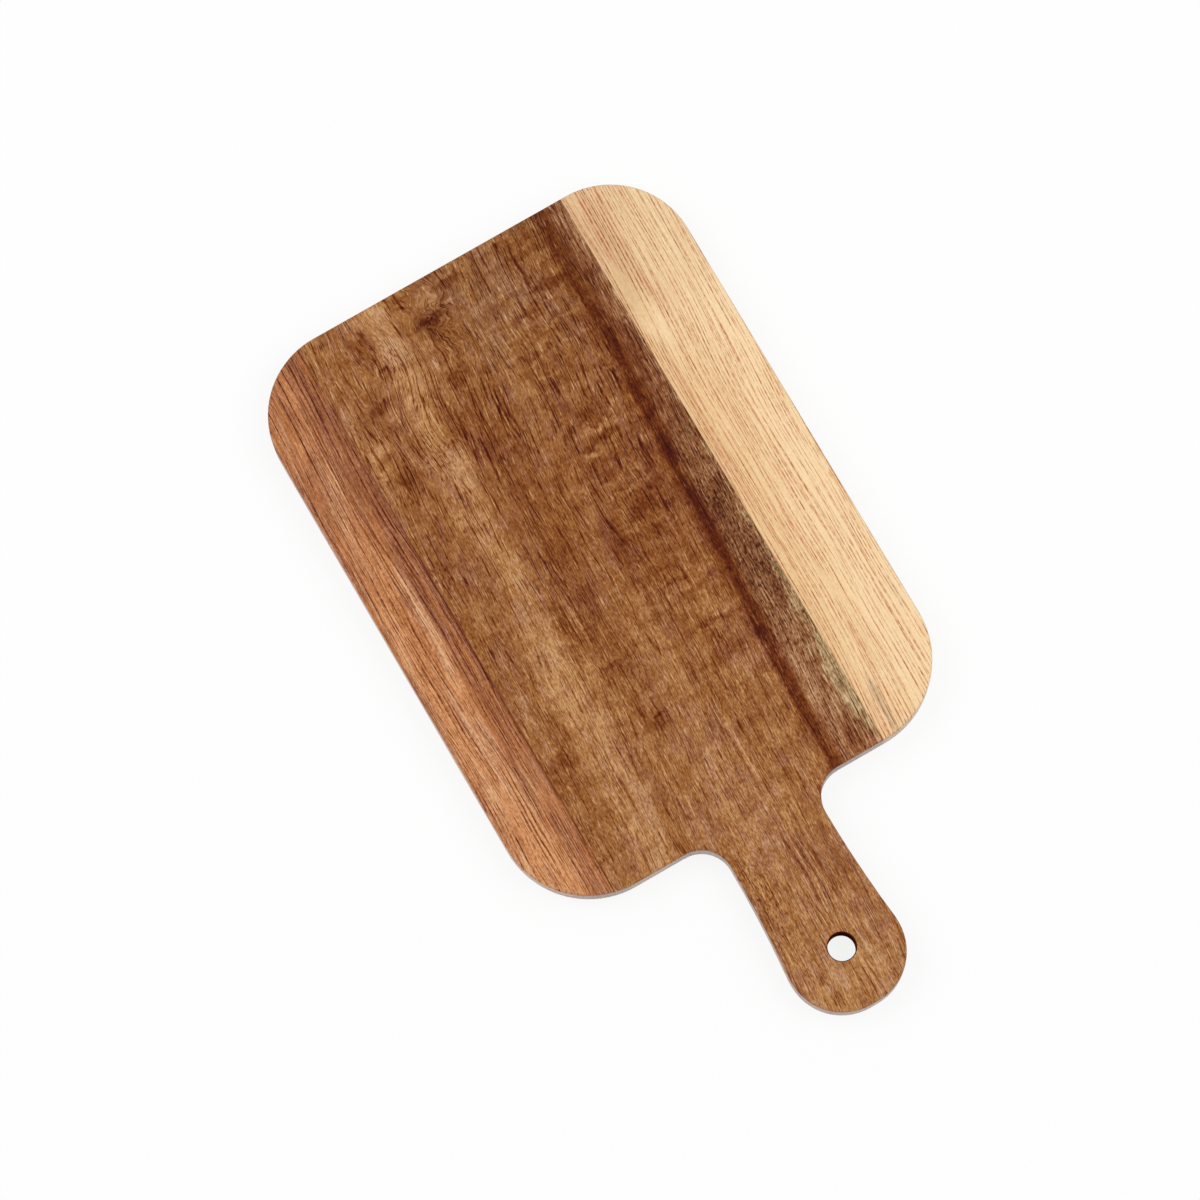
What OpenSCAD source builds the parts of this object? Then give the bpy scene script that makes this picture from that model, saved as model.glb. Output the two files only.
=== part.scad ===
// Paddle serving board.
// Three hardwood staves are glued edge to edge into a panel. The panel is sawn to a paddle
// outline, both faces are eased all round, and the handle is drilled for hanging.
// The origin is the middle of the board's box, on the face that it lies on.
// +Y runs from the handle to the far end, +X to the pale stave, +Z up.

/* [Blade] */
// Width of the blade, across the staves
blade_w = 200; // [160:1:260]
// Length of the blade, from its shoulders to its far end
blade_l = 271; // [200:1:360]
// Thickness of the board
board_t = 12; // [8:0.5:25]
// Radius of the two corners at the far end
far_corner_r = 38; // [15:0.5:70]
// Radius of the two shoulder corners beside the handle
shoulder_r = 39.5; // [15:0.5:55]

/* [Handle] */
// Length of the handle, beyond the shoulders
handle_l = 93; // [80:1:130]
// Width of the grip at its waist, next to the neck
waist_w = 46; // [38:0.5:51]
// Width of the rounded end of the handle
end_w = 51.5; // [46.5:0.5:60]
// Radius of the two corners that round the end off
end_corner_r = 24; // [14:0.5:25.5]
// Radius of the long hollow along each side of the grip
grip_hollow_r = 500; // [300:5:900]
// Radius of the inside corners where the grip runs into the shoulders
neck_fillet_r = 14; // [6:0.5:20]

/* [Hanging hole] */
// Diameter of the hole through the handle
hole_d = 12; // [6:0.5:20]
// Distance of the hole's centre from the end of the handle
hole_from_end = 27; // [20:0.5:45]
// Width of the small bevel round each rim of the hole
hole_bevel = 0.4; // [0.2:0.1:1.5]

/* [Staves] */
// Width of the left stave
left_stave_w = 30; // [10:0.5:60]
// Width of the right stave
right_stave_w = 40.5; // [10:0.5:60]
// Thickness of the glue film in each joint
glue_t = 0.2; // [0.1:0.05:0.5]

/* [Edges] */
// Radius that eases the edges of both faces
ease_r = 1; // [0.4:0.1:3]

/* [Hidden] */
$fn = 96;
// How far cutting shapes run past what they cut
overrun = 4;
// How far the blocks that make up the board reach into each other
lap = 4;

// Levels along the board, from its far end to the end of its handle
overall_l = blade_l + handle_l;
far_y = overall_l / 2;
shoulder_y = far_y - blade_l;
waist_y = shoulder_y - neck_fillet_r;
end_y = shoulder_y - handle_l;

// Centres of the outline's arcs, on the right-hand side
end_r = min(end_corner_r, end_w / 2);
far_corner = [blade_w / 2 - far_corner_r, far_y - far_corner_r];
shoulder_corner = [blade_w / 2 - shoulder_r, shoulder_y + shoulder_r];
neck_fillet = [waist_w / 2 + neck_fillet_r, waist_y];
grip_hollow = [waist_w / 2 + grip_hollow_r, waist_y];
end_corner = [end_w / 2 - end_r, end_y + end_r];

// Turn about the hollow's centre that takes it past the end of the handle
grip_sweep = asin((waist_y - end_y + overrun) / grip_hollow_r);
// Width of the plain wood down the middle of the handle, between its shaped sides
core_w = waist_w / 2;

// Places across the board where the glue films start and end
left_glue_x = [left_stave_w - blade_w / 2, left_stave_w - blade_w / 2 + glue_t];
right_glue_x = [blade_w / 2 - right_stave_w - glue_t, blade_w / 2 - right_stave_w];

// Draws a right-hand shape and its mirror image
module on_both_sides() {
    for (side = [0, 1]) mirror([side, 0, 0]) children();
}

// Section through the edge of the board: the outside is at X = 0 and the wood on the -X side
module edge_section(depth) {
    translate([-depth, ease_r]) square([depth, board_t - 2 * ease_r]);
    translate([-depth, 0]) square([depth - ease_r, board_t]);
    for (height = [ease_r, board_t - ease_r]) translate([-ease_r, height]) circle(ease_r);
}

// Straight stretch of edge. The outside faces the given angle, and the stretch runs clockwise
module straight_edge(start, outside, length, depth) {
    translate(start) rotate([0, 0, outside]) rotate([90, 0, 0])
        linear_extrude(length) edge_section(depth);
}

// Quarter-round corner that bulges out, with a heel that reaches into its neighbours
module corner_edge(centre, r, from) {
    translate(centre) rotate([0, 0, from]) {
        rotate_extrude(angle = 90) intersection() {
            translate([r, 0]) edge_section(r + lap);
            square([r, board_t]);
        }
        translate([-lap, -lap]) cube([r / 2 + lap, r / 2 + lap, board_t]);
    }
}

// Hollow stretch of edge, turned about a centre outside the board
module hollow_edge(centre, r, from, sweep, depth) {
    translate(centre) rotate([0, 0, from]) rotate_extrude(angle = sweep)
        translate([r, 0]) mirror([1, 0]) edge_section(depth);
}

// Rounded rectangle that carries the food
module blade() {
    on_both_sides() {
        straight_edge([0, far_y], 90, far_corner.x, far_corner_r + lap);
        corner_edge(far_corner, far_corner_r, 0);
        straight_edge([blade_w / 2, far_corner.y], 0, far_corner.y - shoulder_corner.y, blade_w / 2 + lap);
        corner_edge(shoulder_corner, shoulder_r, -90);
        straight_edge([shoulder_corner.x, shoulder_y], -90, shoulder_corner.x - neck_fillet.x,
            shoulder_r + lap);
    }
    translate([-neck_fillet.x, shoulder_y]) cube([2 * neck_fillet.x, shoulder_r + lap, board_t]);
}

// Filleted stretch between the shoulders and the waist
module neck() {
    on_both_sides() hollow_edge(neck_fillet, neck_fillet_r, 90, 90, waist_w / 2);
    translate([-core_w / 2, waist_y - lap]) cube([core_w, neck_fillet_r + 2 * lap, board_t]);
}

// Straight-sided handle with a rounded end, before its grip is hollowed
module handle_blank() {
    on_both_sides() {
        straight_edge([end_w / 2, waist_y], 0, waist_y - end_corner.y, end_w / 2 + lap);
        corner_edge(end_corner, end_r, -90);
        if (end_corner.x > 0) straight_edge([end_corner.x, end_y], -90, end_corner.x, end_r + lap);
    }
}

// Everything between the two long hollows of the grip
module between_hollows() {
    on_both_sides() hollow_edge(grip_hollow, grip_hollow_r, 180, grip_sweep, waist_w / 2);
    translate([-core_w / 2, end_y - overrun]) cube([core_w, waist_y - end_y + overrun, board_t]);
}

// Hanging hole, with a small bevel round both rims
module hole_waste() {
    bevel_r = hole_d / 2 + hole_bevel + overrun;
    translate([0, end_y + hole_from_end, board_t / 2]) {
        cylinder(d = hole_d, h = board_t + 2 * overrun, center = true);
        for (face = [0, 1]) mirror([0, 0, face]) translate([0, 0, board_t / 2 - hole_bevel])
            cylinder(r1 = hole_d / 2, r2 = bevel_r, h = hole_bevel + overrun);
    }
}

// The finished board, before it is told apart into what it is glued up from
module board() {
    difference() {
        union() {
            blade();
            neck();
            intersection() {
                handle_blank();
                between_hollows();
            }
        }
        hole_waste();
    }
}

// What lies between two places across the finished board
module slice(from, to) {
    intersection() {
        board();
        translate([from, end_y - overrun, -overrun])
            cube([to - from, overall_l + 2 * overrun, board_t + 2 * overrun]);
    }
}

// Reddish stave on the left
module left_stave() {
    color("peru") slice(-blade_w / 2 - overrun, left_glue_x[0]);
}

// Glue film between the left and centre staves
module left_glue_line() {
    color("saddlebrown") slice(left_glue_x[0], left_glue_x[1]);
}

// Brown stave in the middle, which runs on into the handle
module centre_stave() {
    color("sienna") slice(left_glue_x[1], right_glue_x[0]);
}

// Glue film between the centre and right staves
module right_glue_line() {
    color("saddlebrown") slice(right_glue_x[0], right_glue_x[1]);
}

// Pale sapwood stave on the right
module right_stave() {
    color("burlywood") slice(right_glue_x[1], blade_w / 2 + overrun);
}

left_stave();
left_glue_line();
centre_stave();
right_glue_line();
right_stave();
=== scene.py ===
import math
from types import SimpleNamespace
import bpy
from mathutils import Matrix, Vector

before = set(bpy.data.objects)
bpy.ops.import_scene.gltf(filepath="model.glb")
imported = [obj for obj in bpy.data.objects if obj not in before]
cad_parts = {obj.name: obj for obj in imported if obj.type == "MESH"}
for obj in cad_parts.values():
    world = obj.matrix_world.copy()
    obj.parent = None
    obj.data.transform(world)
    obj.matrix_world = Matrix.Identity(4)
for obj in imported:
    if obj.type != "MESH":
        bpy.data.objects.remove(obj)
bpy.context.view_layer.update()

# Lengths in the materials are in millimetres, and colours are plain 8-bit screen values
MM_PER_M = 1000.0
SCREEN_WHITE = 255.0
# White that oiled wood reflects in the studio on top of its own colour, and its darkest colour
SHEEN = 0.009
LEAST_ALBEDO = 0.0015

# Board sizes that the materials follow
TOP_Z = 12.0
HOLE_AT = (0.0, -155.0)
HOLE_R = 6.0
HOLE_BEVEL = 0.4
# How far down the spots that show on the top face reach
MARK_DEPTH = 9.0

# Surfaces are told apart by the height of their normal: walls lie below the first limit, and the
# hole's wall and bevels below the second
WALL_TILT = 0.55
HOLE_TILT = 0.9
# How strongly the oiled faces and the burnished walls of the board mirror the studio
FACE_GLOSS = 0.08
WALL_GLOSS = 0.8
# Roughness of the faces, and what the pores and the walls add to it
FACE_ROUGHNESS = 0.42
PORE_ROUGHNESS = 0.15
WALL_ROUGHNESS = -0.12
# Relief of the pores, and of glue and of the hole's wall
BUMP_STRENGTH = 0.6
PORE_DEPTH = 0.15
FILM_DEPTH = 0.05
# Colours mixed into all walls and into those that cut across the grain, and their share
WALL_TINT = (150, 120, 112)
END_TINT = (110, 74, 54)
TINT_SHARE = 0.3

# Offsets that keep the noises of different seeds apart
SEED_STEP = (7.31, 3.17, 5.93)
# Flanks of a thin grain line as shares of its pitch, and how softly its ends fade
LINE_FLANK = (0.26, 0.44)
LINE_FADE = 0.08


class Graph:
    """One material's nodes. A value may be a plain number or another node's output."""

    def __init__(self, name):
        self.material = bpy.data.materials.new(name)
        self.material.use_nodes = True
        self.tree = self.material.node_tree
        self.tree.nodes.clear()

    def node(self, kind, **settings):
        made = self.tree.nodes.new(kind)
        for key, value in settings.items():
            setattr(made, key, value)
        return made

    def feed(self, socket, value):
        if isinstance(value, bpy.types.NodeSocket):
            self.tree.links.new(value, socket)
        else:
            socket.default_value = value

    def math(self, operation, *values, clamp=False):
        made = self.node("ShaderNodeMath", operation=operation, use_clamp=clamp)
        for socket, value in zip(made.inputs, values):
            self.feed(socket, value)
        return made.outputs[0]

    def add(self, *values):
        total = values[0]
        for value in values[1:]:
            total = self.math("ADD", total, value)
        return total

    def less(self, a, b):
        return self.math("SUBTRACT", a, b)

    def times(self, *values):
        total = values[0]
        for value in values[1:]:
            total = self.math("MULTIPLY", total, value)
        return total

    def scale_add(self, value, factor, offset):
        return self.math("MULTIPLY_ADD", value, factor, offset)

    def rise(self, value, low, high):
        """0 below low and 1 above high, smooth between. With low above high it falls instead."""
        made = self.node("ShaderNodeMapRange", interpolation_type="SMOOTHSTEP")
        self.feed(made.inputs["Value"], value)
        made.inputs["From Min"].default_value = low
        made.inputs["From Max"].default_value = high
        return made.outputs[0]

    def hump(self, value, middle, reach):
        """1 at the middle, falling smoothly to 0 at a reach to either side."""
        away = self.math("ABSOLUTE", self.less(value, middle))
        return self.rise(away, reach, 0.0)

    def point(self, x, y, z):
        made = self.node("ShaderNodeCombineXYZ")
        for socket, value in zip(made.inputs, (x, y, z)):
            self.feed(socket, value)
        return made.outputs[0]

    def texture(self, point, across, along, seed, detail, roughness):
        """Noise with marks that are so wide across and so long along the grain."""
        place = self.node("ShaderNodeMapping")
        self.feed(place.inputs["Vector"], point)
        place.inputs["Location"].default_value = [seed * step for step in SEED_STEP]
        place.inputs["Scale"].default_value = (1 / across, 1 / along, 1 / across)
        made = self.node("ShaderNodeTexNoise")
        self.feed(made.inputs["Vector"], place.outputs[0])
        made.inputs["Scale"].default_value = 1.0
        made.inputs["Detail"].default_value = detail
        made.inputs["Roughness"].default_value = roughness
        return made.outputs

    def noise(self, point, across, along, seed, detail=2.0, roughness=0.5):
        """Noise from -0.5 to 0.5, mostly well inside that."""
        return self.less(self.texture(point, across, along, seed, detail, roughness)[0], 0.5)

    def threads(self, u, grain, pitch, along, seed, start, crowd=0.0, wander=5.0):
        """Thin broken lines along the grain, 1 in the middle of each. A crowd brings more of them."""
        drift = self.noise(grain, pitch * 3.0, along * 4.0, seed)
        place = self.add(self.math("DIVIDE", u, pitch), self.times(drift, wander))
        line = self.rise(self.math("PINGPONG", place, 0.5), *LINE_FLANK)
        here = self.add(self.noise(grain, pitch, along, seed + 0.5, detail=1.5), crowd)
        return self.times(line, self.rise(here, start, start + LINE_FADE))

    def shifted(self, point, reach, pitch, seed):
        """The point moved about by noise, so that what is drawn there gets ragged edges."""
        made = self.texture(point, pitch, pitch, seed, detail=2.0, roughness=0.5)
        moved = self.node("ShaderNodeVectorMath", operation="MULTIPLY_ADD")
        self.feed(moved.inputs[0], made["Color"])
        moved.inputs[1].default_value = (reach, reach, 0.0)
        moved.inputs[2].default_value = (-reach / 2, -reach / 2, 0.0)
        total = self.node("ShaderNodeVectorMath", operation="ADD")
        self.feed(total.inputs[0], point)
        self.feed(total.inputs[1], moved.outputs[0])
        return total.outputs[0]

    def spot(self, point, x, y, half_w, half_h, turn, core=0.25):
        """1 inside an oval on the top face, falling smoothly to 0 at its edge and below the face."""
        made = self.node("ShaderNodeMapping", vector_type="TEXTURE")
        self.feed(made.inputs["Vector"], point)
        made.inputs["Location"].default_value = (x, y, TOP_Z)
        made.inputs["Rotation"].default_value = (0.0, 0.0, math.radians(turn))
        made.inputs["Scale"].default_value = (half_w, half_h, MARK_DEPTH)
        away = self.node("ShaderNodeVectorMath", operation="LENGTH")
        self.feed(away.inputs[0], made.outputs[0])
        return self.rise(away.outputs["Value"], 1.0, core)

    def marks(self, point, spots):
        """All the spots of a table together, each with its own strength."""
        total = 0.0
        for *place, strength in spots:
            total = self.scale_add(self.spot(point, *place), strength, total)
        return total

    def curve(self, value, stops):
        """A curve through the given (value, result) stops."""
        low, high = stops[0][0], stops[-1][0]
        least = min(result for _, result in stops)
        most = max(result for _, result in stops)
        made = self.node("ShaderNodeFloatCurve")
        points = made.mapping.curves[0].points
        while len(points) < len(stops):
            points.new(0.5, 0.5)
        for point, (at, result) in zip(points, stops):
            point.location = ((at - low) / (high - low), (result - least) / (most - least))
        made.mapping.update()
        share = self.math("DIVIDE", self.less(value, low), high - low, clamp=True)
        self.feed(made.inputs["Value"], share)
        return self.scale_add(made.outputs[0], most - least, least)

    def ramp(self, value, stops):
        """Colours at the given tones, from 0 to 255."""
        made = self.node("ShaderNodeValToRGB")
        band = made.color_ramp.elements
        while len(band) < len(stops):
            band.new(0.5)
        for element, (tone, colour) in zip(band, stops):
            element.position = tone / SCREEN_WHITE
            element.color = oiled(*colour)
        self.feed(made.inputs[0], self.math("DIVIDE", value, SCREEN_WHITE))
        return made.outputs[0]

    def mix(self, share, a, b, blend="MIX"):
        made = self.node("ShaderNodeMix", data_type="RGBA", blend_type=blend)
        self.feed(made.inputs["Factor"], share)
        self.feed(made.inputs[6], a)
        self.feed(made.inputs[7], b)
        return made.outputs[2]


def linear(value):
    """One 8-bit screen value as the linear share that a shader takes."""
    share = value / SCREEN_WHITE
    return share / 12.92 if share <= 0.04045 else ((share + 0.055) / 1.055) ** 2.4


def screen(red, green, blue):
    """A screen colour as the linear one that a shader takes."""
    return (linear(red), linear(green), linear(blue), 1.0)


def oiled(red, green, blue):
    """A screen colour as the linear one that looks so once the surface's own sheen is added."""
    parts = screen(red, green, blue)[:3]
    return tuple(max(part - SHEEN, LEAST_ALBEDO) for part in parts) + (1.0,)


def board_point(g):
    """Object coordinates in millimetres, whole and apart, and the surface's own direction."""
    coordinates = g.node("ShaderNodeTexCoord")
    made = g.node("ShaderNodeMapping")
    g.feed(made.inputs["Vector"], coordinates.outputs["Object"])
    made.inputs["Scale"].default_value = (MM_PER_M, MM_PER_M, MM_PER_M)
    apart = g.node("ShaderNodeSeparateXYZ")
    g.feed(apart.inputs[0], made.outputs[0])
    facing = g.node("ShaderNodeSeparateXYZ")
    g.feed(facing.inputs[0], coordinates.outputs["Normal"])
    return made.outputs[0], apart.outputs, facing.outputs


def finish(g, colour, height, roughness, depth_mm, gloss):
    """The surface itself: its colour, its sheen and a relief that is so deep."""
    bump = g.node("ShaderNodeBump")
    bump.inputs["Strength"].default_value = BUMP_STRENGTH
    bump.inputs["Distance"].default_value = depth_mm / MM_PER_M
    g.feed(bump.inputs["Height"], height)
    shader = g.node("ShaderNodeBsdfPrincipled")
    g.feed(shader.inputs["Base Color"], colour)
    g.feed(shader.inputs["Roughness"], roughness)
    g.feed(shader.inputs["Normal"], bump.outputs[0])
    shader.inputs["Specular IOR Level"].default_value = gloss
    out = g.node("ShaderNodeOutputMaterial")
    g.feed(out.inputs["Surface"], shader.outputs[0])
    return g.material


def upright(g, facing):
    """1 on the walls of the board and 0 on its faces."""
    return g.rise(g.math("ABSOLUTE", facing[2]), 0.75, 0.3)


def edge_shade(g, colour, facing):
    """Sawn walls are greyer than the faces, and darker where they cut across the grain."""
    endwise = g.rise(g.math("ABSOLUTE", facing[1]), 0.35, 0.95)
    wall = g.mix(TINT_SHARE, colour, screen(*WALL_TINT))
    wall = g.mix(g.times(endwise, TINT_SHARE), wall, screen(*END_TINT))
    return g.mix(upright(g, facing), colour, wall)


def satin(g, facing, pores):
    """Roughness: the faces are oiled thinly, with duller pores, and the walls are burnished."""
    faces = g.scale_add(pores, PORE_ROUGHNESS, FACE_ROUGHNESS)
    return g.add(faces, g.times(upright(g, facing), WALL_ROUGHNESS))


def cooled(g, colour, x, y, tint):
    """The wood is a little less yellow towards the far end of the board, but not on its left side."""
    here = g.times(g.rise(y, 70.0, 165.0), g.rise(x, -40.0, 0.0))
    return g.mix(here, colour, tint, blend="MULTIPLY")


def wavering(g, x, y, z, sway):
    """The point pushed a little sideways, so that single long lines drawn there waver."""
    return g.point(g.add(x, g.times(sway, 4.0)), y, z)


# How light the centre stave is across the grain, and how that shifts along the board
BROWN_BANDS = (
    (-72.0, 158.0), (-60.0, 152.0), (-52.0, 150.0), (-44.0, 162.0), (-35.0, 174.0), (-28.0, 162.0),
    (-19.0, 143.0), (-9.0, 142.0), (5.0, 152.0), (16.0, 145.0), (30.0, 145.0), (40.0, 148.0),
    (47.0, 140.0), (51.0, 130.0), (58.0, 134.0), (74.0, 140.0),
)
BROWN_LENGTH = (
    (-190.0, 15.0), (-90.0, 11.0), (-40.0, 4.5), (0.0, -1.5), (50.0, -12.0), (90.0, -9.0), (190.0, -6.0),
)
# Colours of its golden and its dusky fibres at each tone, and what cools them at the far end
BROWN_GOLDEN = (
    (40, (52, 20, 9)), (75, (78, 33, 15)), (95, (97, 46, 22)), (117, (118, 64, 33)),
    (138, (140, 85, 46)), (158, (160, 106, 61)), (177, (180, 129, 83)), (205, (208, 162, 112)),
)
BROWN_DUSKY = (
    (40, (49, 20, 12)), (75, (75, 33, 19)), (95, (96, 46, 27)), (117, (117, 65, 41)),
    (138, (138, 86, 57)), (158, (158, 107, 74)), (177, (178, 130, 96)), (205, (207, 164, 126)),
)
BROWN_COOL = (1.0, 1.1, 1.22, 1.0)
# How much its grain leans to the right towards the far end, and the level from where that counts
BROWN_LEAN = 0.055
BROWN_LEVEL_Y = 165.0
# Knot: place, reach, how far the grain turns in it, and how much it crumples
KNOT_AT = (-13.0, 166.0)
KNOT_REACH = (17.0, 20.0)
KNOT_TURN = 0.5
KNOT_CRUMPLE = 20.0
# Zone beside the knot where the grain leans more: place, reach and lean
FAN_AT = (-40.0, 142.0)
FAN_REACH = (24.0, 40.0)
FAN_LEAN = 0.3
# Where the dark red streak runs, and how it shades the wood to its left and right
STREAK_PLACE = (
    (-190.0, 35.0), (-88.0, 36.5), (-75.0, 37.0), (-45.0, 38.0), (-15.0, 40.0), (15.0, 41.5),
    (45.0, 43.0), (75.0, 44.5), (105.0, 46.0), (165.0, 47.5), (190.0, 48.0),
)
STREAK_SHADE = (
    (-30.0, 0.0), (-14.0, -4.0), (-6.0, -9.0), (-2.5, -26.0), (-0.5, -47.0), (1.2, -41.0),
    (2.8, -18.0), (5.0, -7.0), (14.0, 0.0), (30.0, 0.0),
)
# Where the wood turns olive next to the pale stave, and the colours that it takes there
OLIVE_BRINK = (
    (-190.0, 62.0), (-92.0, 60.0), (-84.0, 56.0), (-78.0, 54.0), (-60.0, 52.8), (-40.0, 53.0),
    (-28.0, 57.0), (-15.0, 56.5), (0.0, 57.0), (20.0, 58.0), (45.0, 58.4), (75.0, 58.8), (100.0, 61.0),
    (190.0, 63.0),
)
OLIVE_TINT = ((90, (98, 72, 46)), (130, (143, 114, 78)), (170, (186, 160, 116)), (205, (218, 198, 156)))
# Zones with many short pits: place, half width, half height, turn and strength
BROWN_PITTED = (
    (-41.0, 112.0, 15.0, 17.0, 0.0, 0.75),
    (-40.0, 156.0, 12.0, 13.0, 0.0, 0.9),
    (-66.0, 64.0, 7.0, 12.0, 0.0, 0.8),
    (-44.0, 84.0, 9.0, 14.0, 0.0, 0.5),
    (-17.0, -120.0, 9.0, 50.0, 0.0, 0.75),
)
# Long fine lines, dark and pale: place, half width, half height, turn and change of tone
BROWN_LINES = (
    (-9.0, 112.0, 0.8, 18.0, -2.0, -44.0),
    (-7.2, 113.0, 0.8, 19.0, -2.0, -48.0),
    (-5.6, 111.0, 0.7, 17.0, -2.0, -42.0),
    (-8.1, 112.0, 0.6, 16.0, -2.0, 24.0),
    (-17.0, 110.0, 0.7, 18.0, -2.0, -34.0),
    (2.6, -122.0, 0.7, 36.0, 0.0, -40.0),
    (4.2, -124.0, 0.5, 36.0, 0.0, 30.0),
    (5.6, -116.0, 0.6, 32.0, 0.0, -26.0),
    (7.2, -112.0, 0.5, 34.0, 0.0, 28.0),
    (8.6, -150.0, 0.5, 32.0, 2.0, 28.0),
    (-0.6, -172.0, 0.6, 12.0, 2.0, -38.0),
    (2.6, -172.0, 0.6, 11.0, 2.0, -42.0),
    (4.2, -172.0, 0.5, 11.0, 2.0, 28.0),
    (5.6, -170.0, 0.6, 13.0, 2.0, -36.0),
    (6.2, -62.0, 1.3, 32.0, -1.0, 24.0),
    (4.2, -60.0, 0.7, 30.0, -1.0, -26.0),
)
# Light and dark spots of the centre stave: place, half width, half height, turn and change of tone
BROWN_MARKS = (
    (-15.0, 164.0, 14.0, 3.0, 8.0, -48.0),
    (-15.0, 157.0, 9.0, 9.0, 0.0, -14.0),
    (2.0, 175.0, 9.0, 3.5, 10.0, -30.0),
    (-11.0, 172.0, 7.0, 6.0, 30.0, 26.0),
    (-34.0, 168.0, 7.0, 24.0, 4.0, 10.0),
    (-46.0, 166.0, 8.0, 13.0, 0.0, -22.0),
    (-52.0, 141.0, 8.0, 3.4, 10.0, -36.0),
    (-50.0, 136.0, 7.0, 3.0, 0.0, 16.0),
    (-63.0, 124.5, 8.0, 4.0, 5.0, 24.0),
    (-35.0, 104.0, 7.0, 15.0, 0.0, 11.0),
    (-61.0, 116.0, 9.0, 3.4, 0.0, 20.0),
    (-57.0, 109.0, 6.0, 14.0, 5.0, -26.0),
    (-16.0, 136.0, 9.0, 6.0, 20.0, -22.0),
    (-20.0, 106.0, 7.0, 20.0, 3.0, -16.0),
    (37.0, 152.0, 14.0, 2.6, -3.0, -36.0),
    (-62.0, 45.0, 8.0, 16.0, 0.0, 12.0),
    (-35.0, 45.0, 8.0, 18.0, 0.0, 11.0),
    (22.0, 108.0, 11.0, 3.4, 0.0, 18.0),
    (24.0, 94.0, 11.0, 4.0, 0.0, -20.0),
    (22.0, 87.0, 16.0, 2.6, 0.0, 16.0),
    (20.0, 82.0, 14.0, 2.4, 5.0, -28.0),
    (17.0, 78.0, 9.0, 2.2, 0.0, 26.0),
    (27.0, 48.0, 18.0, 11.0, 0.0, -18.0),
    (18.0, 13.5, 11.0, 2.2, 4.0, -26.0),
    (20.0, 8.5, 14.0, 2.6, 4.0, 20.0),
    (24.0, -9.5, 15.0, 2.6, -3.0, -24.0),
    (-17.0, -35.0, 9.0, 6.0, 0.0, -24.0),
    (-17.0, -32.0, 2.4, 1.5, 0.0, -46.0),
    (6.0, 40.0, 6.0, 20.0, 0.0, -14.0),
    (-63.0, -31.0, 9.0, 9.0, 0.0, -16.0),
    (-24.0, -5.0, 6.0, 2.5, 0.0, -22.0),
    (-57.0, -58.0, 26.0, 62.0, 0.0, -15.0),
    (56.5, 168.0, 5.0, 30.0, 0.0, 26.0),
    (56.0, 130.0, 5.0, 22.0, 0.0, 16.0),
    (51.0, 52.0, 8.0, 20.0, 0.0, 15.0),
    (54.0, 1.0, 10.0, 30.0, 0.0, -18.0),
    (44.0, -55.0, 6.0, 30.0, 0.0, 23.0),
    (51.0, -78.0, 7.0, 16.0, 0.0, -14.0),
    (-21.0, 148.0, 9.0, 26.0, 0.0, 13.0),
    (4.0, -168.0, 13.0, 15.0, 0.0, 13.0),
    (18.0, -124.0, 6.0, 26.0, 0.0, -16.0),
)


def brown_flow(g):
    """How the grain of the centre stave runs, with u as the place across it."""
    point, (x, y, z), facing = board_point(g)
    depth = g.less(TOP_Z, z)
    knot = g.spot(point, *KNOT_AT, *KNOT_REACH, 0.0, core=0.0)
    swirl = g.node("ShaderNodeVectorRotate", rotation_type="Z_AXIS")
    g.feed(swirl.inputs["Vector"], point)
    swirl.inputs["Center"].default_value = (*KNOT_AT, 0.0)
    g.feed(swirl.inputs["Angle"], g.times(knot, KNOT_TURN))
    turned = g.node("ShaderNodeSeparateXYZ")
    g.feed(turned.inputs[0], swirl.outputs[0])
    slow = g.noise(point, 45.0, 100.0, seed=1, detail=1.0)
    small = g.noise(point, 9.0, 30.0, seed=2, detail=1.0)
    lean = g.scale_add(y, -BROWN_LEAN, BROWN_LEAN * BROWN_LEVEL_Y)
    crumple = g.times(g.noise(point, 7.0, 7.0, seed=16), knot, KNOT_CRUMPLE)
    fanned = g.spot(point, *FAN_AT, *FAN_REACH, 0.0, core=0.0)
    fan = g.times(fanned, g.scale_add(y, -FAN_LEAN, FAN_LEAN * FAN_AT[1]))
    past_streak = g.add(g.less(x, g.curve(y, STREAK_PLACE)), g.times(small, 5.0), g.times(depth, 0.5))
    pored = g.rise(past_streak, 1.0, 6.0)
    sway = g.add(g.times(slow, 14.0), g.times(small, 2.5), crumple, fan)
    quiet = g.rise(y, 85.0, 15.0)
    sway = g.times(sway, g.scale_add(g.math("MAXIMUM", pored, quiet), -0.7, 1.0))
    u = g.add(turned.outputs[0], lean, sway, g.times(depth, 0.5))
    return SimpleNamespace(
        point=point, x=x, y=y, z=z, facing=facing, u=u, grain=g.point(u, turned.outputs[1], z),
        ragged=g.shifted(point, 9.0, 5.0, seed=11), small=small, past_streak=past_streak,
        pored=pored, quiet=quiet)


def brown_bands(g, wood):
    """Tone of the centre stave at large: its bands, its marks and the dark red streak."""
    bands = g.add(g.curve(wood.u, BROWN_BANDS), g.curve(wood.y, BROWN_LENGTH))
    bands = g.add(bands, g.marks(wood.ragged, BROWN_MARKS))
    return g.add(bands, g.curve(wood.past_streak, STREAK_SHADE))


def brown_curl(g, wood):
    """Bright and dark waves across the grain, strongest to the right of the middle."""
    curl = g.noise(wood.ragged, 15.0, 3.4, seed=7)
    strong = g.times(g.hump(wood.x, 24.0, 34.0), g.rise(wood.y, -90.0, 10.0))
    plain = g.scale_add(g.rise(wood.y, -120.0, -80.0), 16.0, 10.0)
    return g.times(curl, g.scale_add(strong, 56.0, plain))


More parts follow.
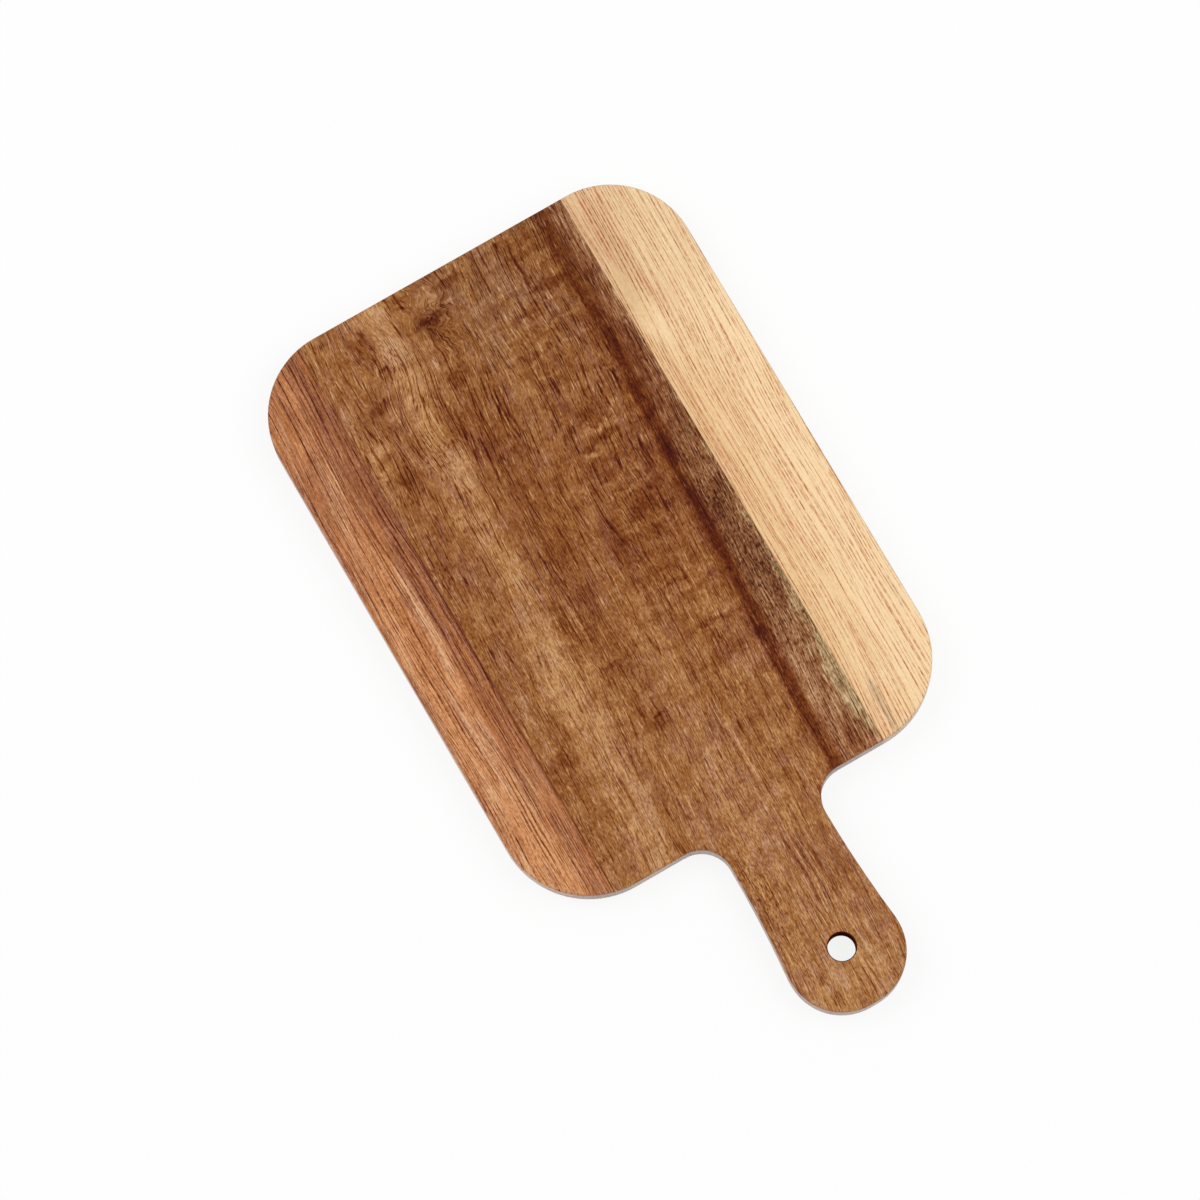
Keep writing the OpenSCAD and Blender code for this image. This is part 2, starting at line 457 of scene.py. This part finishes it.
def brown_olive(g, wood):
    """1 where the centre stave is olive, with a frayed brink."""
    frayed = g.add(g.times(g.noise(wood.grain, 0.8, 9.0, seed=18), 24.0),
                   g.times(g.noise(wood.point, 8.0, 6.0, seed=19), 7.0))
    past_brink = g.add(g.less(wood.x, g.curve(wood.y, OLIVE_BRINK)), frayed)
    return g.rise(past_brink, -2.5, 5.0)


def brown_pores(g, wood, olive):
    """Dark lines and dashes, pale threads and short pits, with more of them right of the streak."""
    u, grain, pored = wood.u, wood.grain, wood.pored
    crowd = g.scale_add(g.noise(grain, 5.0, 40.0, seed=13), 0.2, g.times(g.add(pored, olive), 0.05))
    lines = g.threads(u, grain, 1.5, 15.0, seed=8, start=0.0, crowd=crowd)
    dashes = g.threads(u, grain, 1.15, 5.0, seed=9, start=0.03, crowd=crowd)
    pale = g.threads(u, grain, 1.35, 9.0, seed=10, start=0.04, crowd=g.times(pored, 0.1))
    specked = g.times(pored, g.hump(wood.y, 5.0, 115.0))
    pitted = g.add(g.marks(wood.ragged, BROWN_PITTED), specked)
    pits = g.times(g.rise(g.noise(grain, 0.85, 2.6, seed=17, detail=1.0), 0.04, 0.13), pitted)
    return SimpleNamespace(lines=lines, dashes=dashes, pale=pale, specked=specked, pits=pits)


def brown_drawn(g, wood, pores):
    """Change of tone by the dark pores, which are fainter in the streak and near the handle."""
    streak = g.hump(wood.past_streak, 0.0, 4.0)
    line_tone = g.add(g.scale_add(streak, 36.0, -50.0), g.times(pores.specked, 26.0))
    faint = g.scale_add(g.times(wood.quiet, g.less(1.0, wood.pored)), -0.3, 1.0)
    drawn = g.times(g.add(g.times(pores.lines, line_tone), g.times(pores.dashes, -37.0)), faint)
    return g.add(drawn, g.times(pores.pits, -48.0))


def brown_colour(g, wood, tone, olive, specked):
    """Golden and dusky fibres side by side, greyer where the wood is olive or speckled."""
    gold = g.add(g.times(g.noise(wood.point, 16.0, 30.0, seed=14), 0.6),
                 g.noise(wood.grain, 2.0, 12.0, seed=15))
    golden = g.less(g.rise(gold, -0.2, 0.08), g.times(wood.pored, 0.65))
    colour = g.mix(golden, g.ramp(tone, BROWN_DUSKY), g.ramp(tone, BROWN_GOLDEN))
    greyed = g.math("MAXIMUM", g.times(olive, 0.75), g.times(specked, 0.14))
    colour = g.mix(greyed, colour, g.ramp(g.add(tone, 27.0), OLIVE_TINT))
    return cooled(g, colour, wood.x, wood.y, BROWN_COOL)


def brown_heartwood(side, gloss):
    """Centre stave: brown bands that lean across the board, curl, dark pore lines and a knot."""
    g = Graph("brown_heartwood_" + side)
    wood = brown_flow(g)
    bands = brown_bands(g, wood)
    broad = g.times(g.noise(wood.grain, 4.2, 120.0, seed=3), 28.0)
    stripes = g.times(g.noise(wood.grain, 1.7, 30.0, seed=4, roughness=0.6), 42.0)
    fine = g.noise(wood.grain, 0.75, 6.5, seed=5, roughness=0.6)
    speck = g.noise(wood.grain, 0.45, 1.7, seed=12, detail=1.0)
    specks = g.times(speck, g.scale_add(wood.quiet, 18.0, 84.0))
    blotch = g.rise(g.noise(wood.ragged, 7.5, 6.5, seed=6), -0.16, 0.16)
    curled = brown_curl(g, wood)
    olive = brown_olive(g, wood)
    pores = brown_pores(g, wood, olive)
    tone = g.add(bands, broad, stripes, g.times(fine, 50.0), specks, curled)
    tone = g.add(tone, g.times(blotch, 15.0), g.times(pores.pale, 32.0), brown_drawn(g, wood, pores))
    tone = g.add(tone, g.marks(wavering(g, wood.x, wood.y, wood.z, wood.small), BROWN_LINES))
    colour = edge_shade(g, brown_colour(g, wood, tone, olive, pores.specked), wood.facing)
    height = g.add(g.times(pores.lines, -1.0), g.times(pores.dashes, -0.7), g.times(fine, 0.6))
    return finish(g, colour, height, satin(g, wood.facing, pores.lines), PORE_DEPTH, gloss)


# How light the left stave is across the grain, and how that shifts along the board
RED_BANDS = (
    (-104.0, 192.0), (-96.0, 196.0), (-90.0, 198.0), (-86.0, 192.0), (-82.0, 186.0), (-78.0, 170.0),
    (-72.0, 168.0), (-66.0, 162.0),
)
RED_LENGTH = ((-190.0, 8.0), (-40.0, 6.0), (30.0, 3.0), (100.0, -6.0), (150.0, -12.0), (190.0, -12.0))
# How much its grain leans to the right towards the far end
RED_LEAN = 0.012
# Colours of its orange and its dusky fibres at each tone
RED_ORANGE = (
    (60, (72, 27, 16)), (110, (110, 55, 33)), (150, (151, 92, 54)), (165, (167, 106, 65)),
    (180, (182, 118, 75)), (192, (195, 131, 87)), (225, (227, 170, 120)),
)
RED_DUSKY = (
    (60, (68, 28, 22)), (110, (107, 55, 40)), (150, (148, 92, 64)), (165, (163, 107, 76)),
    (180, (179, 122, 88)), (192, (191, 137, 102)), (225, (226, 177, 134)),
)
# Stripes of the left stave: place, half width, half height, turn and change of tone
RED_MARKS = (
    (-81.8, 48.0, 1.0, 44.0, -1.0, 34.0),
    (-79.6, 52.0, 0.6, 30.0, -1.0, 30.0),
    (-82.0, 98.0, 1.2, 20.0, 0.0, -40.0),
    (-76.5, 50.0, 3.4, 60.0, 0.0, -11.0),
    (-70.3, 20.0, 1.5, 120.0, 0.0, -40.0),
    (-98.5, 60.0, 2.4, 120.0, 0.0, -14.0),
    (-88.0, 45.0, 4.0, 70.0, 0.0, -10.0),
    (-88.0, -8.0, 4.0, 26.0, 0.0, -9.0),
    (-80.0, 60.0, 4.0, 60.0, 0.0, 8.0),
    (-95.0, -46.0, 5.0, 18.0, 0.0, -22.0),
    (-80.0, -38.0, 4.0, 40.0, 0.0, -14.0),
    (-95.0, 112.0, 4.0, 44.0, 0.0, -12.0),
    (-88.0, 162.0, 5.0, 22.0, 0.0, -11.0),
)


def red_warmth(g, x, y, grain):
    """How orange the fibres of the left stave are, from 0 to 1."""
    warm = g.add(g.noise(grain, 2.2, 60.0, seed=33), g.noise(grain, 0.9, 22.0, seed=34))
    warm = g.add(warm, g.scale_add(g.rise(y, 30.0, 130.0), -0.06, 0.03))
    warm = g.add(warm, g.times(g.rise(x, -86.0, -78.0), -0.06), g.times(g.hump(x, -90.0, 7.0), 0.06))
    return g.rise(warm, -0.14, 0.1)


def red_heartwood(side, gloss):
    """Left stave: orange-red with straight dark lines, lighter towards the edge of the board."""
    g = Graph("red_heartwood_" + side)
    point, (x, y, z), facing = board_point(g)
    slow = g.noise(point, 30.0, 140.0, seed=21, detail=1.0)
    small = g.noise(point, 7.0, 40.0, seed=31, detail=1.0)
    depth = g.less(TOP_Z, z)
    sway = g.add(g.times(slow, 10.0), g.times(small, 2.5), g.times(depth, 0.4))
    u = g.add(x, sway, g.times(y, -RED_LEAN))
    grain = g.point(u, y, z)
    bands = g.add(g.curve(u, RED_BANDS), g.curve(y, RED_LENGTH), g.marks(point, RED_MARKS))
    broad = g.times(g.noise(grain, 3.0, 150.0, seed=22), 40.0)
    stripes = g.times(g.noise(grain, 1.3, 70.0, seed=23, roughness=0.6), 64.0)
    fine = g.noise(grain, 0.7, 12.0, seed=24, roughness=0.6)
    speck = g.noise(grain, 0.45, 1.5, seed=28, detail=1.0)
    blotch = g.times(g.noise(point, 7.0, 10.0, seed=25, detail=3.0), 34.0)
    crowd = g.times(g.noise(grain, 4.0, 90.0, seed=32), 0.25)
    lines = g.threads(u, grain, 1.45, 40.0, seed=26, start=-0.03, crowd=crowd, wander=3.0)
    dashes = g.threads(u, grain, 0.95, 10.0, seed=27, start=0.0, crowd=crowd, wander=3.0)
    pale = g.threads(u, grain, 1.2, 22.0, seed=35, start=0.0, wander=3.0)
    beads = g.rise(g.noise(grain, 1.0, 2.4, seed=36), -0.12, 0.1)
    tone = g.add(bands, broad, stripes, g.times(fine, 56.0), g.times(speck, 84.0), blotch)
    tone = g.add(tone, g.times(lines, g.scale_add(beads, -50.0, -28.0)), g.times(dashes, -46.0))
    tone = g.add(tone, g.times(pale, 20.0))
    colour = g.mix(red_warmth(g, x, y, grain), g.ramp(tone, RED_DUSKY), g.ramp(tone, RED_ORANGE))
    colour = edge_shade(g, colour, facing)
    height = g.add(g.times(lines, -1.0), g.times(dashes, -0.7), g.times(fine, 0.6))
    return finish(g, colour, height, satin(g, facing, lines), PORE_DEPTH, gloss)


# How light the right stave is across the board, and how that shifts along it
PALE_BANDS = (
    (56.0, 230.0), (62.0, 233.0), (68.0, 236.0), (76.0, 241.0), (86.0, 246.0), (104.0, 249.0),
)
PALE_LENGTH = ((-190.0, 4.0), (0.0, 3.0), (70.0, 1.0), (105.0, 1.0), (135.0, -8.0), (190.0, -6.0))
# How much its grain leans to the right towards the far end
PALE_LEAN = 0.03
# Colours of its cream and its pink fibres at each tone, and what cools them at the far end
PALE_CREAM = (
    (150, (150, 108, 72)), (190, (190, 146, 102)), (213, (212, 170, 122)), (228, (228, 188, 139)),
    (240, (240, 203, 154)), (252, (250, 219, 174)),
)
PALE_PINK = (
    (150, (160, 86, 54)), (190, (198, 132, 92)), (213, (216, 160, 118)), (228, (230, 182, 138)),
    (240, (241, 200, 155)), (252, (250, 218, 178)),
)
PALE_COOL = (1.0, 1.07, 1.16, 1.0)
# Where the sapwood is pinker or clearer: place, half width, half height, turn and strength
PALE_MARKS = (
    (68.0, 154.0, 9.0, 32.0, 3.0, -0.3),
    (67.0, 115.0, 9.0, 16.0, 0.0, 0.3),
    (78.0, 140.0, 9.0, 16.0, 0.0, 0.12),
    (65.0, 50.0, 8.0, 44.0, 2.0, -0.12),
    (100.0, 20.0, 3.0, 24.0, 0.0, -0.7),
)
# Single grey stains: place, half width, half height, turn and strength, and their colours
PALE_STAINS = (
    (66.9, -71.0, 2.4, 13.0, 0.0, 0.4),
    (66.3, -83.0, 0.8, 9.0, 0.0, 0.58),
    (67.6, -84.0, 0.6, 8.0, 0.0, 0.48),
    (95.6, -36.0, 1.6, 12.0, 0.0, 0.2),
)
STAIN_TINT = ((60, (74, 58, 46)), (130, (154, 130, 106)))


def sapwood(side, gloss):
    """Right stave: pale cream with fine pinkish pore lines, pinker next to the joint."""
    g = Graph("sapwood_" + side)
    point, (x, y, z), facing = board_point(g)
    slow = g.noise(point, 34.0, 120.0, seed=41, detail=1.0)
    depth = g.less(TOP_Z, z)
    u = g.add(x, g.times(slow, 9.0), g.times(depth, 0.4), g.times(y, -PALE_LEAN))
    grain = g.point(u, y, z)
    marks = g.marks(g.shifted(point, 6.0, 8.0, seed=51), PALE_MARKS)
    bands = g.add(g.curve(x, PALE_BANDS), g.curve(y, PALE_LENGTH), g.times(marks, 24.0))
    broad = g.times(g.noise(grain, 4.0, 110.0, seed=42), 22.0)
    fine = g.noise(grain, 0.6, 14.0, seed=43)
    speck = g.noise(grain, 0.45, 1.3, seed=46, detail=1.0)
    crowd = g.add(g.times(g.noise(grain, 5.0, 70.0, seed=47), 0.15), g.times(marks, -0.18))
    lines = g.add(g.threads(u, grain, 1.7, 60.0, seed=44, start=-0.07, crowd=crowd, wander=2.4),
                  g.threads(u, grain, 1.15, 36.0, seed=49, start=-0.02, crowd=crowd, wander=2.0))
    beads = g.rise(g.noise(grain, 1.0, 3.0, seed=45), -0.12, 0.12)
    tone = g.add(bands, broad, g.times(fine, 24.0), g.times(speck, 30.0))
    tone = g.add(tone, g.times(lines, g.scale_add(beads, -31.0, -12.0)))
    pink = g.add(g.times(lines, 0.7), g.times(marks, -0.6))
    pink = g.add(pink, g.times(g.noise(grain, 2.0, 40.0, seed=48), 1.6))
    colour = g.mix(g.rise(pink, -0.1, 0.8), g.ramp(tone, PALE_CREAM), g.ramp(tone, PALE_PINK))
    stain = g.marks(wavering(g, x, y, z, slow), PALE_STAINS)
    colour = g.mix(stain, colour, g.ramp(g.add(tone, -120.0), STAIN_TINT))
    colour = edge_shade(g, cooled(g, colour, x, y, PALE_COOL), facing)
    height = g.add(g.times(lines, -1.0), g.times(fine, 0.6))
    return finish(g, colour, height, satin(g, facing, lines), PORE_DEPTH, gloss)


# Colours of the glue in the two joints, and of the hole's wall, at each tone
GLUE_DARK = ((70, (74, 38, 24)), (100, (104, 60, 38)), (140, (140, 94, 60)))
GLUE_HONEY = ((70, (170, 130, 86)), (100, (200, 160, 112)), (140, (224, 190, 142)))
# The hole's wall is painted dark: end grain is darker, and the shade inside the hole is painted into
# these colours as well
HOLE_WALL_SHADE_TONES = ((20, (60, 30, 22)), (60, (104, 56, 38)))
HOLE_WALL_ROUGHNESS = 0.9


def glue_film(name, tones, gloss):
    """Thin glue in a joint, a little uneven."""
    g = Graph(name)
    point = board_point(g)[0]
    uneven = g.noise(point, 2.0, 6.0, seed=61)
    colour = g.ramp(g.scale_add(uneven, 40.0, 100.0), tones)
    return finish(g, colour, uneven, g.scale_add(uneven, 0.2, 0.4), FILM_DEPTH, gloss)


def dark_glue(side, gloss):
    """Glue between the left and the centre stave."""
    return glue_film("glue_dark_" + side, GLUE_DARK, gloss)


def honey_glue(side, gloss):
    """Glue between the centre and the right stave."""
    return glue_film("glue_honey_" + side, GLUE_HONEY, gloss)


def hole_wall_painted_shade():
    """Wall of the drilled hole: dull end grain, darker than the faces, with the shade inside the hole
    painted into its dark colour.
    """
    g = Graph("hole_wall_with_painted_shade")
    point = board_point(g)[0]
    uneven = g.noise(point, 1.2, 1.2, seed=71)
    colour = g.ramp(g.scale_add(uneven, 80.0, 40.0), HOLE_WALL_SHADE_TONES)
    return finish(g, colour, uneven, HOLE_WALL_ROUGHNESS, FILM_DEPTH, gloss=0.0)


FINISHES = {
    "left_stave": red_heartwood,
    "left_glue_line": dark_glue,
    "centre_stave": brown_heartwood,
    "right_glue_line": honey_glue,
    "right_stave": sapwood,
}


def dress_board():
    """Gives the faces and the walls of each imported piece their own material."""
    for name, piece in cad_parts.items():
        piece.data.materials[0] = FINISHES[name]("face", FACE_GLOSS)
        piece.data.materials.append(FINISHES[name]("wall", WALL_GLOSS))
        for face in piece.data.polygons:
            if abs(face.normal.z) < WALL_TILT:
                face.material_index = 1
    dress_hole(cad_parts["centre_stave"])


def dress_hole(piece):
    """Gives the drilled hole a darker material, with the shade inside the hole painted into it."""
    piece.data.materials.append(hole_wall_painted_shade())
    middle = Vector(HOLE_AT)
    for face in piece.data.polygons:
        away = (face.center.xy * MM_PER_M - middle).length
        if away < HOLE_R + HOLE_BEVEL and abs(face.normal.z) < HOLE_TILT:
            face.material_index = 2


# Studio, in metres: the white floor, how much of its white is its own, and the even light all round
FLOOR_SIZE = 8.0
FLOOR_DROP = 0.0001
FLOOR_WHITE = (0.92, 0.92, 0.92, 1.0)
FLOOR_GLOW = 0.86
AMBIENT = 0.62
# Two square soft lights: place and watts
SOFTBOX_SIZE = 1.4
SOFTBOXES = (((-1.0, 0.9, 1.5), 15.5), ((1.1, -0.5, 1.5), 14.5))
# Camera, solved from the outline of the photographed board
PHOTO_PX = 1200.0
FOCAL_PX = 5281.82
SENSOR_MM = 36.0
CAMERA_AT = (-0.190534, -0.358794, 2.1945)
CAMERA_RIGHT = (0.865333, -0.500900, -0.017248)
CAMERA_UP = (0.494817, 0.848338, 0.188355)
CAMERA_BACK = (-0.079714, -0.171524, 0.981950)
CAMERA_FAR = 50.0


def background_rays(tree):
    """1 for rays that should see the plain white surround: camera, glossy and transmission."""
    path = tree.nodes.new("ShaderNodeLightPath")
    total = path.outputs["Is Camera Ray"]
    for name in ("Is Glossy Ray", "Is Transmission Ray"):
        added = tree.nodes.new("ShaderNodeMath")
        added.operation = "MAXIMUM"
        tree.links.new(total, added.inputs[0])
        tree.links.new(path.outputs[name], added.inputs[1])
        total = added.outputs[0]
    return total


def floor_material():
    """White with a glow of its own for the rays that see it, so that shadows on it stay soft."""
    material = bpy.data.materials.new("floor_white")
    material.use_nodes = True
    tree = material.node_tree
    tree.nodes.clear()
    plain = tree.nodes.new("ShaderNodeBsdfDiffuse")
    plain.inputs["Color"].default_value = FLOOR_WHITE
    glow = tree.nodes.new("ShaderNodeEmission")
    share = tree.nodes.new("ShaderNodeMath")
    share.operation = "MULTIPLY"
    share.inputs[1].default_value = FLOOR_GLOW
    tree.links.new(background_rays(tree), share.inputs[0])
    both = tree.nodes.new("ShaderNodeMixShader")
    tree.links.new(share.outputs[0], both.inputs[0])
    tree.links.new(plain.outputs[0], both.inputs[1])
    tree.links.new(glow.outputs[0], both.inputs[2])
    out = tree.nodes.new("ShaderNodeOutputMaterial")
    tree.links.new(both.outputs[0], out.inputs["Surface"])
    return material


def floor():
    """White table top just below the board."""
    bpy.ops.mesh.primitive_plane_add(size=FLOOR_SIZE, location=(0.0, 0.0, -FLOOR_DROP))
    top = bpy.context.object
    top.name = "floor"
    top.data.materials.append(floor_material())


def surround():
    """White studio all round: seen as white, and lighting the board evenly."""
    world = bpy.data.worlds.new("studio")
    bpy.context.scene.world = world
    world.use_nodes = True
    tree = world.node_tree
    tree.nodes.clear()
    strength = tree.nodes.new("ShaderNodeMapRange")
    tree.links.new(background_rays(tree), strength.inputs["Value"])
    strength.inputs["To Min"].default_value = AMBIENT
    strength.inputs["To Max"].default_value = 1.0
    back = tree.nodes.new("ShaderNodeBackground")
    tree.links.new(strength.outputs[0], back.inputs["Strength"])
    out = tree.nodes.new("ShaderNodeOutputWorld")
    tree.links.new(back.outputs[0], out.inputs["Surface"])


def softboxes():
    """Soft lights to both sides, turned to the middle of the board."""
    for number, (place, watts) in enumerate(SOFTBOXES):
        lamp = bpy.data.lights.new(f"softbox_{number}", "AREA")
        lamp.shape = "SQUARE"
        lamp.size = SOFTBOX_SIZE
        lamp.energy = watts
        holder = bpy.data.objects.new(lamp.name, lamp)
        holder.location = place
        holder.rotation_euler = Vector(place).to_track_quat("Z", "Y").to_euler()
        bpy.context.scene.collection.objects.link(holder)


def camera():
    """Camera where the photograph was taken from."""
    lens = bpy.data.cameras.new("camera")
    lens.sensor_width = SENSOR_MM
    lens.lens = FOCAL_PX * SENSOR_MM / PHOTO_PX
    lens.clip_end = CAMERA_FAR
    holder = bpy.data.objects.new("camera", lens)
    axes = Matrix((CAMERA_RIGHT, CAMERA_UP, CAMERA_BACK)).transposed().to_4x4()
    holder.matrix_world = Matrix.Translation(CAMERA_AT) @ axes
    bpy.context.scene.collection.objects.link(holder)
    bpy.context.scene.camera = holder


dress_board()
floor()
surround()
softboxes()
camera()
bpy.context.scene.view_settings.view_transform = "Standard"
